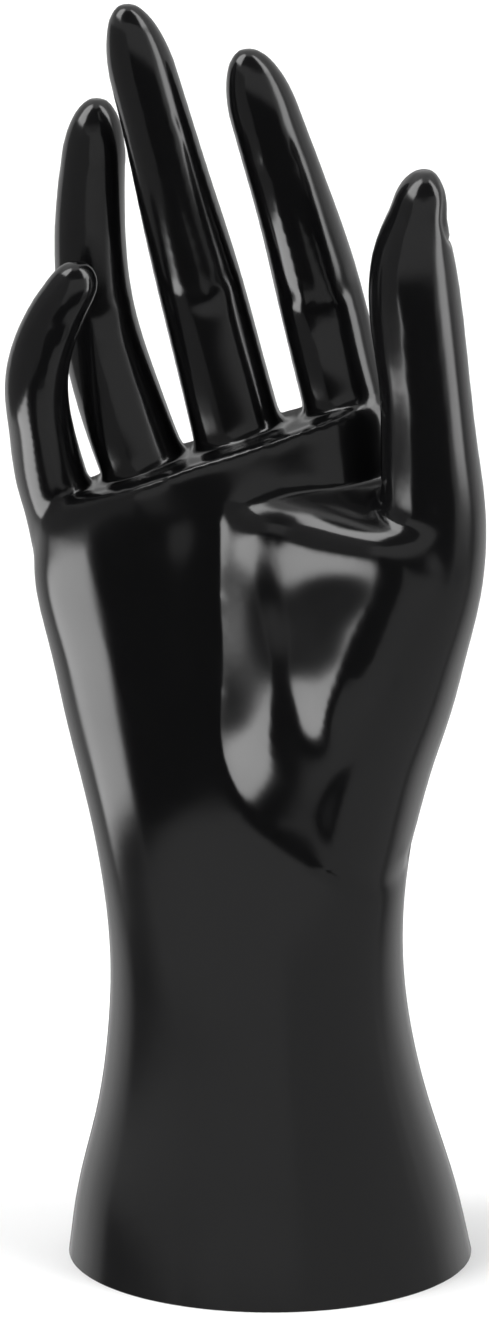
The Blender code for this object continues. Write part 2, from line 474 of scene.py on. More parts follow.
@dataclass(frozen=True)
class Wrist:
    """The flared foot, the wrist and the palm up to the line where the fingers part."""

    foot_left: float = -40.1
    foot_right: float = 40.8
    foot_half_depth: float = 33.0
    waist: float = 62.0
    palm_length: float = 103.5
    web_slope: float = 0.33
    sink: float = 6.0
    ring_points: int = 64

    @property
    def finger_line(self) -> float:
        """The height of the middle of the line where the fingers part."""
        return self.waist + self.palm_length

    def sections(self) -> list[Section]:
        """Lists the cross-sections.

        Returns:
            The sections from below the foot, which is cut off there later, up to the fingers.
        """
        waist, top = self.waist, self.finger_line
        left, right, deep = self.foot_left, self.foot_right, self.foot_half_depth
        return [
            Section(-self.sink, left - 0.8, right + 1.4, -deep - 1.0, deep + 1.3, power=2.0),
            Section(0.0, left, right, -deep, deep, power=2.0),
            Section(waist - 48.0, -38.1, 37.5, -30.2, 29.8, power=2.05),
            Section(waist - 32.0, -34.3, 32.5, -27.2, 26.6, power=2.1),
            Section(waist - 16.0, -32.0, 28.5, -24.2, 24.3, power=2.1),
            Section(waist, -31.4, 26.6, -21.2, 22.5, power=2.15),
            Section(waist + 15.0, -32.8, 27.1, -17.6, 21.0, power=2.2),
            Section(waist + 31.0, -35.8, 29.0, -13.9, 19.3),
            Section(top - 56.0, -39.6, 29.0, -13.3, 17.4),
            Section(top - 42.0, -42.2, 29.4, -13.8, 15.9, 0.03),
            Section(top - 28.0, -44.6, 29.6, -14.4, 14.4, 0.12),
            Section(top - 16.0, -45.5, 28.6, -15.0, 13.0, 0.22),
            Section(top - 7.0, -45.2, 26.0, -15.8, 11.8, 0.30),
            Section(top - 2.0, -44.2, 24.0, -16.4, 10.4, self.web_slope),
            Section(top, -42.6, 21.6, -16.6, 8.6, self.web_slope),
        ]

    def add_to(self, bm: bmesh.types.BMesh) -> None:
        """Adds the loft of the cross-sections to a mesh.

        Args:
            bm: The mesh.
        """
        sections = self.sections()
        heights = np.array([s.height for s in sections])
        rows = np.array([(s.left, s.right, s.front, s.back, s.slope, s.power) for s in sections])
        places = even_places(heights[0], heights[-1], RING_SPACING)
        rings = []
        for height, row in zip(places, spline(heights, rows, places)):
            left, right, front, back, slope, power = row
            centre, half = (left + right) / 2, (right - left) / 2
            middle, deep = (front + back) / 2, (back - front) / 2
            ring = []
            for i in range(self.ring_points):
                across, along = rounded(math.tau * i / self.ring_points, power)
                x = centre + half * across
                ring.append(Vector((x, middle + deep * along, height + slope * (x - centre))))
            rings.append(ring)
        add_loft(bm, rings)


@dataclass(frozen=True)
class Digit:
    """A finger or the thumb, from inside the palm to its rounded end.

    rise is the height that the stations' z is measured from, and turn the angle by which the pad
    faces away from -Y, towards -X. nail_groove and nail_plate are each a radius and a height, and
    both fade to nail_tip_share of it at an end.
    """

    rise: float
    name: str = ""
    stations: tuple[Station, ...] = ()
    tip: float = 8.0
    turn: float = 0.0
    creases: tuple[Crease, ...] = ()
    nail_side: Facing = Facing.BACK
    nail_length: float = 13.0
    nail_groove: tuple[float, float] = (0.75, -0.5)
    nail_plate: tuple[float, float] = (3.4, -0.55)
    nail_tip_share: float = 0.4
    power: float = 2.1
    ring_points: int = 56
    tip_rings: int = 9
    tip_sweep: float = 86.0

    @property
    def pad_way(self) -> Vector:
        """The way that the pad faces."""
        return Matrix.Rotation(-math.radians(self.turn), 3, "Z") @ Vector((0, -1, 0))

    def line(self) -> list[tuple[Vector, np.ndarray]]:
        """Reads the middle line and the half sizes along it, rounded end included.

        Returns:
            A place in millimetres and the side, pad and nail sizes there, from the palm outwards.
        """
        rows = np.array([(s.x, s.y, self.rise + s.z, s.side, s.pad, s.nail) for s in self.stations])
        gaps = np.linalg.norm(np.diff(rows[:, :3], axis=0), axis=1)
        knots = np.concatenate(([0.0], np.cumsum(gaps)))
        places = even_places(0.0, knots[-1], RING_SPACING)
        line = [(Vector(row[:3]), row[3:]) for row in spline(knots, rows, places)]
        ahead = (line[-1][0] - line[-2][0]).normalized()
        end, size = line[-1]
        for i in range(1, self.tip_rings + 1):
            angle = math.radians(self.tip_sweep) * i / self.tip_rings
            line.append((end + self.tip * math.sin(angle) * ahead, size * math.cos(angle)))
        return line

    def across(self, from_end: float, share: float) -> Vector:
        """Finds a point on the digit's width.

        Args:
            from_end: How far the place is from the digit's end, along its middle line.
            share: Where it is on the width, from -1 to 1.

        Returns:
            The point, in millimetres, level with the middle line.
        """
        line = self.line()
        gone = 0.0
        for (outer, size), (inner, _) in zip(reversed(line), reversed(line[:-1])):
            gone += (outer - inner).length
            if gone >= from_end:
                break
        sideways = (outer - inner).cross(self.pad_way).normalized()
        return inner + sideways * size[0] * share

    def stroke(self, name: str, points: Places, radius: float, height: float, facing: Facing) -> Stroke:
        """Lays a stroke by places on the digit.

        Args:
            name: The stroke's name after the digit's own.
            points: Places, each a distance from the digit's end, a share of its width and a strength.
            radius: How wide the stroke is.
            height: How far it rises, or sinks where negative.
            facing: The side that it is on.

        Returns:
            The stroke.
        """
        path = []
        for from_end, share, strength in points:
            place = self.across(from_end, share)
            path.append((facing.seen(place), place.z, strength))
        return Stroke(f"{self.name}_{name}", tuple(path), radius, height, facing)

    def nail(self) -> tuple[Stroke, Stroke]:
        """Draws the nail.

        Returns:
            The groove round it, and the flatness of its plate.
        """
        size = self.nail_length
        edge = ((0.16, -0.62), (0.5, -0.7), (0.8, -0.62), (0.96, -0.36), (1.0, 0.0))
        strengths = (self.nail_tip_share, 1.0, 1.0, 1.0, 1.0)
        outline = [(size * along, share, strength) for (along, share), strength in zip(edge, strengths)]
        outline += [(along, -share, strength) for along, share, strength in reversed(outline[:-1])]
        plate = [(size * 0.2, 0.0, 1.0), (size * 0.55, 0.0, 1.0), (size * 0.8, 0.0, self.nail_tip_share)]
        return (
            self.stroke("nail_groove", outline, *self.nail_groove, self.nail_side),
            self.stroke("nail_plate", plate, *self.nail_plate, self.nail_side),
        )

    def crease(self, crease: Crease) -> Stroke:
        """Draws a crease on the pad's side."""
        return self.stroke(crease.name, crease.points(), crease.radius, crease.height, Facing.PALM)

    def add_to(self, bm: bmesh.types.BMesh) -> None:
        """Adds the digit's loft to a mesh.

        Args:
            bm: The mesh.
        """
        line = self.line()
        rings = []
        for i, (centre, (side, pad, nail)) in enumerate(line):
            before, after = line[max(i - 1, 0)][0], line[min(i + 1, len(line) - 1)][0]
            along = (after - before).normalized()
            sideways = along.cross(self.pad_way).normalized()
            front = sideways.cross(along)
            ring = []
            for j in range(self.ring_points):
                across, deep = rounded(math.tau * j / self.ring_points, self.power)
                reach = nail if deep > 0 else pad
                ring.append(centre + sideways * side * across - front * reach * deep)
            rings.append(ring)
        add_loft(bm, rings)


class StrokeTree(Wiring):
    """The Geometry Nodes tree that works one groove or ridge into a skin along a path."""

    point_spacing: float = 0.4
    facing_gain: float = 2.0
    guide_steps: int = 10

    def __init__(self, material: bpy.types.Material) -> None:
        """Builds the tree.

        Args:
            material: What the tree dresses the skin in at its end.
        """
        super().__init__(bpy.data.node_groups.new("stroke", "GeometryNodeTree"))
        self.sockets: dict[str, str] = {}
        for name, kind in (
            ("Geometry", "NodeSocketGeometry"),
            ("Path", "NodeSocketObject"),
            ("Radius", "NodeSocketFloat"),
            ("Height", "NodeSocketFloat"),
            ("Facing", "NodeSocketVector"),
        ):
            socket = self.tree.interface.new_socket(name, in_out="INPUT", socket_type=kind)
            self.sockets[name] = socket.identifier
        self.tree.interface.new_socket("Geometry", in_out="OUTPUT", socket_type="NodeSocketGeometry")
        self.material = material
        self.wire()

    def wire(self) -> None:
        """Lays the nodes: a bell-shaped push along the facing, strongest on the path."""
        given = self.add("NodeGroupInput").outputs
        path = self.path_points(given["Path"])
        place = self.flattened(given["Facing"])
        near = self.add("GeometryNodeProximity", {0: path, "Sample Position": place}, target_element="EDGES")
        share = self.maths("DIVIDE", near.outputs["Distance"], given["Radius"])
        bell = self.maths("EXPONENT", self.maths("MULTIPLY", self.maths("MULTIPLY", share, share), -1.0))
        full = self.maths("MULTIPLY", self.strength(path, place), given["Height"])
        amount = self.maths("MULTIPLY", self.maths("MULTIPLY", bell, self.weight(given["Facing"])), full)
        push = self.vector_maths("SCALE", given["Facing"], amount).outputs["Vector"]
        move = self.add("GeometryNodeSetPosition", {"Geometry": given["Geometry"], "Offset": push})
        whole = self.add("GeometryNodeRealizeInstances", {"Geometry": move.outputs["Geometry"]})
        dressed = {"Geometry": whole.outputs["Geometry"], "Material": self.material}
        finish = self.add("GeometryNodeSetMaterial", dressed)
        self.add("NodeGroupOutput", {"Geometry": finish.outputs["Geometry"]})

    def path_points(self, guide: Socket) -> Socket:
        """Turns the guide into a fine line of edges whose points hold its strength.

        Args:
            guide: The output that holds the guide, a curve whose radius is the strength.

        Returns:
            The output that holds the line.
        """
        path = self.add("GeometryNodeObjectInfo", {"Object": guide}, transform_space="RELATIVE")
        spaced = {"Curve": path.outputs["Geometry"], "Length": self.point_spacing * MM}
        fine = self.add("GeometryNodeResampleCurve", spaced, mode="LENGTH")
        radius = self.add("GeometryNodeInputRadius").outputs["Radius"]
        named = {"Geometry": fine.outputs["Curve"], "Name": "strength", "Value": radius}
        kept = self.add("GeometryNodeStoreNamedAttribute", named, data_type="FLOAT", domain="POINT")
        line = self.add("GeometryNodeCurveToMesh", {"Curve": kept.outputs["Geometry"]})
        return line.outputs["Mesh"]

    def strength(self, path: Socket, place: Socket) -> Socket:
        """Reads the path's strength at its point that is nearest to a place.

        Args:
            path: The output that holds the line.
            place: The output that holds the place.

        Returns:
            The output that holds the strength.
        """
        closest = self.add("GeometryNodeSampleNearest", {"Geometry": path, "Sample Position": place})
        stored = self.add("GeometryNodeInputNamedAttribute", {"Name": "strength"}, data_type="FLOAT")
        asked = {"Value": stored.outputs["Attribute"], "Index": closest.outputs["Index"]}
        there = self.add("GeometryNodeSampleIndex", {"Geometry": path, **asked}, data_type="FLOAT")
        return there.outputs["Value"]

    def weight(self, facing: Socket) -> Socket:
        """Finds how much of a push the skin takes, by how far it looks the stroke's way.

        Args:
            facing: The output that holds the stroke's way.

        Returns:
            The output that holds the weight, from 0 to 1.
        """
        normal = self.add("GeometryNodeInputNormal").outputs["Normal"]
        along = self.vector_maths("DOT_PRODUCT", normal, facing)
        gained = self.maths("MULTIPLY", along.outputs["Value"], self.facing_gain)
        return self.maths("MINIMUM", self.maths("MAXIMUM", gained, 0.0), 1.0)

    def flattened(self, facing: Socket) -> Socket:
        """Drops from the position its part along the facing.

        Args:
            facing: The output that holds the stroke's way.

        Returns:
            The output that holds the place left.
        """
        place = self.add("GeometryNodeInputPosition").outputs["Position"]
        depth = self.vector_maths("DOT_PRODUCT", place, facing)
        along = self.vector_maths("SCALE", facing, depth.outputs["Value"])
        level = self.vector_maths("SUBTRACT", place, along.outputs["Vector"])
        return level.outputs["Vector"]

    def work(self, skin: bpy.types.Object, strokes: tuple[Stroke, ...]) -> None:
        """Works the strokes into the skin and leaves it a plain mesh.

        Args:
            skin: The object whose mesh is worked.
            strokes: The grooves and ridges, in order.
        """
        guides = []
        for stroke in strokes:
            guide = self.guide(stroke)
            guides.append(guide)
            modifier = skin.modifiers.new(stroke.name, "NODES")
            modifier.node_group = self.tree
            modifier[self.sockets["Path"]] = guide
            modifier[self.sockets["Radius"]] = stroke.radius * MM
            modifier[self.sockets["Height"]] = stroke.height * MM
            modifier[self.sockets["Facing"]] = stroke.facing.value
        settle(skin)
        for guide in guides:
            bpy.data.objects.remove(guide)

    @staticmethod
    def guide(stroke: Stroke) -> bpy.types.Object:
        """Makes the curve that a stroke follows.

        Args:
            stroke: The groove or ridge.

        Returns:
            The curve's object; the curve's radius is the stroke's strength.
        """
        curve = bpy.data.curves.new(stroke.name, "CURVE")
        curve.dimensions = "3D"
        curve.resolution_u = StrokeTree.guide_steps
        line = curve.splines.new("BEZIER")
        line.bezier_points.add(len(stroke.path) - 1)
        for point, (across, height, share) in zip(line.bezier_points, stroke.path):
            point.co = stroke.facing.place(across, height) * MM
            point.radius = share
            point.handle_left_type = point.handle_right_type = "AUTO"
        return add_object(stroke.name, curve)


@dataclass(frozen=True)
class LittleFinger(Digit):
    """The bent little finger, above the line where the fingers part."""

    name: str = "little"
    stations: tuple[Station, ...] = (
        Station(-34.0, 1.0, -32.0, 5.0, 4.0, 4.0),
        Station(-38.2, 0.8, -22.0, 7.0, 5.8, 4.6),
        Station(-40.1, 0.0, -13.5, 7.0, 7.0, 5.8),
        Station(-41.8, -2.5, -6.5, 6.9, 7.0, 6.8),
        Station(-43.5, -8.5, 5.0, 6.2, 6.2, 6.3),
        Station(-44.0, -13.0, 13.5, 6.1, 6.0, 6.1),
        Station(-42.4, -16.0, 22.0, 5.7, 5.7, 5.7),
        Station(-39.2, -17.0, 29.1, 5.2, 5.2, 5.0),
        Station(-37.2, -17.3, 32.5, 4.8, 4.8, 4.5),
    )
    tip: float = 6.4


@dataclass(frozen=True)
class RingFinger(Digit):
    """The ring finger, which stands upright from its first joint."""

    name: str = "ring"
    stations: tuple[Station, ...] = (
        Station(-18.6, 0.5, -17.0, 9.0, 8.4, 10.6),
        Station(-24.0, -0.6, -4.7, 8.4, 8.2, 10.8),
        Station(-28.6, -0.2, 8.1, 8.2, 8.0, 9.4),
        Station(-31.9, 0.8, 19.5, 7.7, 7.7, 7.8),
        Station(-33.7, 0.0, 31.5, 7.1, 7.1, 7.1),
        Station(-33.9, 0.0, 46.5, 6.6, 6.5, 6.2),
        Station(-33.4, 0.0, 53.5, 6.2, 6.0, 5.5),
    )
    tip: float = 13.0
    creases: tuple[Crease, ...] = (Crease("lower_joint", 38.0, 2.8, -0.6, 2.0),)


@dataclass(frozen=True)
class MiddleFinger(Digit):
    """The middle finger, the tallest."""

    name: str = "middle"
    stations: tuple[Station, ...] = (
        Station(-2.5, 0.0, -13.1, 9.2, 8.6, 11.4),
        Station(-6.1, -1.2, 2.2, 8.7, 8.4, 11.4),
        Station(-9.5, -1.6, 15.9, 8.4, 8.2, 9.6),
        Station(-13.4, -2.5, 31.5, 8.15, 7.9, 8.2),
        Station(-17.4, -7.2, 47.6, 7.4, 7.4, 7.3),
        Station(-20.7, -11.0, 61.2, 6.7, 6.8, 6.5),
        Station(-23.1, -13.2, 70.5, 6.4, 6.3, 5.8),
    )
    tip: float = 16.4
    creases: tuple[Crease, ...] = (
        Crease("upper_joint", 26.0, 2.6, -0.25),
        Crease("lower_joint", 57.0, 2.4, -0.6, 2.0),
    )


@dataclass(frozen=True)
class IndexFinger(Digit):
    """The index finger."""

    name: str = "index"
    stations: tuple[Station, ...] = (
        Station(18.6, 0.0, -8.1, 9.0, 8.6, 11.0),
        Station(16.3, -1.2, 2.0, 8.6, 8.4, 11.2),
        Station(12.7, -1.6, 15.9, 8.3, 8.2, 9.6),
        Station(8.8, -2.0, 31.5, 8.1, 7.9, 8.1),
        Station(4.3, -7.0, 47.6, 7.3, 7.3, 7.2),
        Station(1.8, -9.0, 55.5, 6.95, 6.9, 6.6),
        Station(-0.7, -11.0, 63.3, 6.6, 6.5, 6.0),
    )
    tip: float = 15.2
    creases: tuple[Crease, ...] = (
        Crease("upper_joint", 23.0, 2.6, -0.25),
        Crease("lower_joint", 50.0, 2.2, -0.4, 2.0),
        Crease("lower_fold", 54.0, 6.0, -1.5, 2.0),
    )


@dataclass(frozen=True)
class Thumb(Digit):
    """The thumb, from inside the heel of the hand, above the wrist's narrowest place."""

    name: str = "thumb"
    stations: tuple[Station, ...] = (
        Station(8.5, 4.0, -6.0, 9.0, 9.0, 9.0),
        Station(11.0, 2.0, 8.0, 12.0, 12.0, 12.0),
        Station(13.4, -0.4, 21.0, 13.4, 13.4, 13.4),
        Station(15.6, -3.2, 34.0, 14.2, 14.1, 14.1),
        Station(18.4, -6.4, 46.0, 14.6, 14.2, 14.0),
        Station(21.9, -10.4, 58.0, 14.6, 14.0, 13.7),
        Station(25.4, -14.8, 70.0, 13.6, 13.2, 12.7),
        Station(28.8, -18.6, 82.0, 12.0, 12.0, 11.6),
        Station(30.6, -21.0, 94.0, 10.2, 10.2, 10.0),
        Station(29.9, -22.5, 105.0, 9.4, 9.3, 9.2),
        Station(28.7, -24.0, 119.3, 8.7, 8.5, 8.5),
        Station(27.0, -25.5, 133.3, 8.8, 8.8, 8.5),
        Station(26.5, -26.5, 144.6, 8.2, 7.6, 7.3),
        Station(27.6, -27.0, 152.3, 6.5, 5.6, 5.0),
    )
    tip: float = 8.4
    turn: float = 75.0
    nail_side: Facing = Facing.THUMB_SIDE


@dataclass(frozen=True)
class ThumbMound:
    """The flesh at the thumb's root, drawn as the palm side's outline at rising heights.

    Each row is a height and the outline's points there, x and y from the hollow to the thumb. The
    loft closes inside the hand, at y inside, where the thumb's end of a row is drawn in by tuck.
    """

    rows: tuple[tuple[float, tuple[tuple[float, float], ...]], ...] = (
        (85.0, ((-12.0, -11.0), (-7.0, -13.0), (-2.0, -14.4), (3.0, -14.8),
                (9.0, -14.8), (15.0, -14.4), (21.0, -12.0), (27.0, -8.0))),
        (92.0, ((-12.0, -11.0), (-7.0, -12.6), (-2.0, -14.0), (3.0, -14.9),
                (9.0, -15.7), (15.0, -16.2), (21.0, -14.4), (27.0, -10.0))),
        (100.0, ((-12.0, -11.0), (-7.5, -13.0), (-3.0, -15.0), (2.0, -16.5),
                (8.0, -17.5), (14.5, -18.0), (21.0, -17.0), (27.0, -12.5))),
        (108.0, ((-13.0, -11.0), (-9.0, -13.2), (-5.0, -16.0), (0.0, -18.6),
                (6.0, -20.0), (12.5, -21.0), (19.0, -20.6), (26.0, -17.6))),
        (116.0, ((-13.0, -11.0), (-9.0, -13.5), (-5.0, -16.8), (0.0, -20.3),
                (5.5, -21.6), (10.5, -24.0), (18.0, -24.0), (26.0, -21.9))),
        (124.0, ((-13.0, -11.0), (-9.0, -13.5), (-5.0, -17.0), (-0.5, -20.8),
                (4.5, -22.5), (11.0, -26.4), (18.0, -27.4), (28.0, -24.9))),
        (132.0, ((-13.0, -11.0), (-9.0, -13.9), (-5.0, -17.5), (-0.5, -20.6),
                (4.5, -22.3), (12.0, -27.4), (20.0, -29.6), (30.0, -27.4))),
        (140.0, ((-13.0, -11.0), (-9.0, -14.4), (-5.0, -18.0), (-0.5, -19.9),
                (5.0, -22.2), (13.0, -28.0), (22.0, -31.6), (32.0, -28.9))),
        (148.0, ((-13.0, -11.0), (-9.0, -14.9), (-5.0, -18.5), (0.0, -20.6),
                (6.5, -23.8), (14.5, -29.0), (24.0, -33.0), (33.5, -29.9))),
        (153.0, ((-13.0, -11.0), (-9.0, -15.1), (-5.0, -18.6), (0.0, -20.8),
                (6.5, -23.8), (14.5, -28.6), (24.0, -32.6), (33.5, -30.2))),
        (157.0, ((-13.0, -10.6), (-9.0, -14.2), (-5.0, -16.6), (0.0, -18.4),
                (6.8, -20.2), (14.5, -22.6), (23.5, -27.0), (33.5, -28.6))),
        (161.0, ((-12.0, -9.0), (-8.0, -10.5), (-4.0, -12.0), (1.0, -13.0),
                (7.0, -13.0), (14.0, -12.0), (20.0, -10.0), (28.0, -12.0))),
    )
    inside: float = 0.0
    tuck: float = 0.55
    outline_points: int = 48

    def add_to(self, bm: bmesh.types.BMesh) -> None:
        """Adds the loft of the rows, closed inside the hand, to a mesh.

        Args:
            bm: The mesh.
        """
        heights = np.array([height for height, _ in self.rows])
        points = np.array([np.ravel(row) for _, row in self.rows])
        places = even_places(heights[0], heights[-1], RING_SPACING)
        rings = []
        for height, flat in zip(places, spline(heights, points, places)):
            row = flat.reshape(-1, 2)
            knots = np.arange(len(row), dtype=float)
            outline = spline(knots, row, np.linspace(0.0, knots[-1], self.outline_points))
            ring = [Vector((x, y, height)) for x, y in outline]
            ring.append(Vector((row[-1][0] * self.tuck, self.inside, height)))
            ring.append(Vector((row[0][0], self.inside, height)))
            rings.append(ring)
        add_loft(bm, rings)


@dataclass(frozen=True)
class Tendon:
    """A faint ridge down the back of the hand, from a knuckle until it fades above the wrist.

    Each place is how far across the back it is and its height above the foot.
    """

    name: str
    knuckle: tuple[float, float]
    halfway: tuple[float, float]
    end: tuple[float, float]
    height: float
    radius: float = 4.2
    halfway_strength: float = 0.7

    def stroke(self) -> Stroke:
        """Draws the ridge."""
        path = ((*self.knuckle, 1.0), (*self.halfway, self.halfway_strength), (*self.end, 0.0))
        return Stroke(self.name, path, self.radius, self.height, Facing.BACK)


@dataclass(frozen=True)
class Hand:
    """The moulding: its skin, made of lofts in one mesh, and the shapes worked into it."""

    wrist: Wrist = field(default_factory=Wrist)
    mound: ThumbMound = field(default_factory=ThumbMound)
    finish: BlackGloss = field(default_factory=BlackGloss)
    voxel: float = 0.85
    blend_steps: int = 17
    blend_share: float = 0.5
    clearance: float = 0.02
    sharp_angle: float = 50.0
    tendons: tuple[Tendon, ...] = (
        Tendon("little_tendon", (-39.0, 146.0), (-34.0, 124.0), (-24.0, 96.0), 0.9),
        Tendon("ring_tendon", (-22.0, 156.0), (-20.0, 130.0), (-14.0, 98.0), 0.9),
        Tendon("middle_tendon", (-3.5, 161.0), (-4.0, 132.0), (-4.0, 98.0), 1.0),
        Tendon("index_tendon", (16.0, 165.0), (12.0, 136.0), (6.0, 100.0), 1.0),
    )

    def digits(self) -> tuple[Digit, ...]:
        """Sizes the digits.

        Returns:
            The four fingers, from the little one on, and the thumb.
        """
        kinds = (LittleFinger, RingFinger, MiddleFinger, IndexFinger)
        fingers = (kind(self.wrist.finger_line) for kind in kinds)
        return (*fingers, Thumb(self.wrist.waist))

    def reliefs(self) -> tuple[Relief, ...]:
        """Lists the palm's broad shapes.

        Returns:
            The rises and hollows of the palm and of the fingers' roots.
        """
        line = self.wrist.finger_line
        return (
            Relief("hypothenar", -28.0, line - 36.0, 12.0, 46.0, 1.4),
            Relief("hollow", -14.0, line - 36.0, 7.0, 50.0, -0.8),
            Relief("little_root", -36.0, line - 18.5, 7.0, 7.0, 0.8),
            Relief("ring_root", -21.0, line - 13.5, 8.0, 7.0, 1.3),
            Relief("middle_root", -3.0, line - 8.5, 8.0, 7.0, 1.6),
            Relief("index_root", 14.0, line - 4.5, 8.0, 7.0, 1.8),
        )

    def strokes(self) -> tuple[Stroke, ...]:
        """Lists what is worked into the skin.

        Returns:
            The nails, the creases and the tendons, in the order of working.
        """
        digits = self.digits()
        strokes = [stroke for digit in digits for stroke in digit.nail()]
        strokes += [digit.crease(crease) for digit in reversed(digits) for crease in digit.creases]
        strokes += [tendon.stroke() for tendon in self.tendons]
        return tuple(strokes)

    def build(self, box: Box) -> bpy.types.Object:
        """Makes the finished hand.

        Args:
            box: The CAD model's box, which the hand stays inside.

        Returns:
            The one piece, dressed and shaded smooth.
        """
        bm = bmesh.new()
        self.wrist.add_to(bm)
        self.mound.add_to(bm)
        for digit in self.digits():
            digit.add_to(bm)
        skin = add_object("hand_skin", mesh_from(bm, "hand_skin"))
        self.fuse(skin)
        self.shape_palm(skin)
        material = self.finish.material()
        StrokeTree(material).work(skin, self.strokes())
        self.cut_foot(skin)
        self.keep_inside(skin, box)
        skin.data.materials.clear()
        skin.data.materials.append(material)
        skin.data.shade_smooth()
        skin.data.set_sharp_from_angle(angle=math.radians(self.sharp_angle))
        return skin

    def fuse(self, skin: bpy.types.Object) -> None:
        """Makes one smooth skin of the lofts.

        Args:
            skin: The object that holds the lofts.
        """
        remesh = skin.modifiers.new("one_skin", "REMESH")
        remesh.mode = "VOXEL"
        remesh.voxel_size = self.voxel * MM
        smooth = skin.modifiers.new("blend", "SMOOTH")
        smooth.factor = self.blend_share
        smooth.iterations = self.blend_steps
        settle(skin)

    def shape_palm(self, skin: bpy.types.Object) -> None:
        """Moves the skin that faces the palm's side by the palm's rises and hollows.

        Args:
            skin: The hand.
        """
        places = read_points(skin.data, "co") / MM
        weight = np.clip(-read_points(skin.data, "normal")[:, 1], 0, 1)
        for relief in self.reliefs():
            across = (places[:, 0] - relief.x) / relief.wide
            up = (places[:, 2] - relief.z) / relief.tall
            places[:, 1] -= weight * relief.height * np.exp(-(across**2) - up**2)
            LOG.info("%s: %.1f mm", relief.name, relief.height)
        move_points(skin.data, places * MM)

    def cut_foot(self, skin: bpy.types.Object) -> None:
        """Cuts the skin level at z = 0 and closes the underside.

        Args:
            skin: The hand, which reaches below the floor.
        """
        bm = bmesh.new()
        bm.from_mesh(skin.data)
        everything = bm.verts[:] + bm.edges[:] + bm.faces[:]
        cut = bmesh.ops.bisect_plane(
            bm, geom=everything, plane_co=(0, 0, 0), plane_no=(0, 0, 1), clear_inner=True
        )
        rim = [g for g in cut["geom_cut"] if isinstance(g, bmesh.types.BMEdge)]
        bmesh.ops.contextual_create(bm, geom=rim)
        bmesh.ops.recalc_face_normals(bm, faces=bm.faces)
        bm.to_mesh(skin.data)
        bm.free()

    def keep_inside(self, skin: bpy.types.Object, box: Box) -> None:
        """Squeezes the skin, by a tenth of a millimetre or so, to lie inside a box.

        Args:
            skin: The hand, standing on the box's floor.
            box: The lowest and the highest corner, in metres.
        """
        places = read_points(skin.data, "co")
        gap = self.clearance * MM
        for axis, (low, high) in enumerate(zip(*box)):
            first, last = places[:, axis].min(), places[:, axis].max()
            floor = 0.0 if axis == UP_AXIS else max(first, low + gap)
            ceiling = min(last, high - gap)
            places[:, axis] = floor + (places[:, axis] - first) * (ceiling - floor) / (last - first)
        move_points(skin.data, places)


@dataclass(frozen=True)
class Board:
    """An upright board beside the hand that only the gloss sees: black, or lit with soft edges.

    The board's middle stands bearing degrees round from straight in front, at a reach from the
    middle of the foot, and faces it.
    """

    name: str
    bearing: float
    reach: float
    width: float
    low: float
    high: float
    light: float
    soft: float = 30.0

    def build(self) -> bpy.types.Object:
        """Makes the board and dresses it.

        Returns:
            The board, which the camera and the floor don't see.
        """
        turn = Matrix.Rotation(math.radians(self.bearing), 3, "Z")
        bm = bmesh.new()
        corners = []
        for across, height in ((-0.5, self.low), (0.5, self.low), (0.5, self.high), (-0.5, self.high)):
            corners.append(bm.verts.new(turn @ Vector((across * self.width, -self.reach, height)) * MM))
        bm.faces.new(corners)
        layer = bm.loops.layers.uv.new("board")
        for face in bm.faces:
            for loop, place in zip(face.loops, ((0, 0), (1, 0), (1, 1), (0, 1))):
                loop[layer].uv = place
        mesh = mesh_from(bm, self.name)
        mesh.materials.append(self.material())
        board = add_object(self.name, mesh)
        board.visible_camera = False
        board.visible_diffuse = False
        board.visible_shadow = False
        board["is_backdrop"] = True
        return board

    def material(self) -> bpy.types.Material:
        """Builds the board's light.

        Returns:
            The material, which fades towards the board's edges into what is behind it.
        """
        made = bpy.data.materials.new(self.name)
        made.use_nodes = True
        tree = made.node_tree
        tree.nodes.remove(tree.nodes["Principled BSDF"])
        wiring = Wiring(tree)
        place = wiring.add("ShaderNodeUVMap").outputs["UV"]
        split = wiring.add("ShaderNodeSeparateXYZ", {"Vector": place})
        shares = []
        for axis, size in (("X", self.width), ("Y", self.high - self.low)):
            from_edge = wiring.maths("PINGPONG", split.outputs[axis], 0.5)
            shares.append(wiring.step(from_edge, 0.0, self.soft / size))
        clear = wiring.add("ShaderNodeBsdfTransparent").outputs["BSDF"]
        lit = wiring.add("ShaderNodeEmission", {"Strength": self.light}).outputs["Emission"]
        share = wiring.maths("MULTIPLY", *shares)
        mix = wiring.add("ShaderNodeMixShader", {"Fac": share, 1: clear, 2: lit})
        wiring.feed(tree.nodes["Material Output"].inputs["Surface"], mix.outputs["Shader"])
        return made


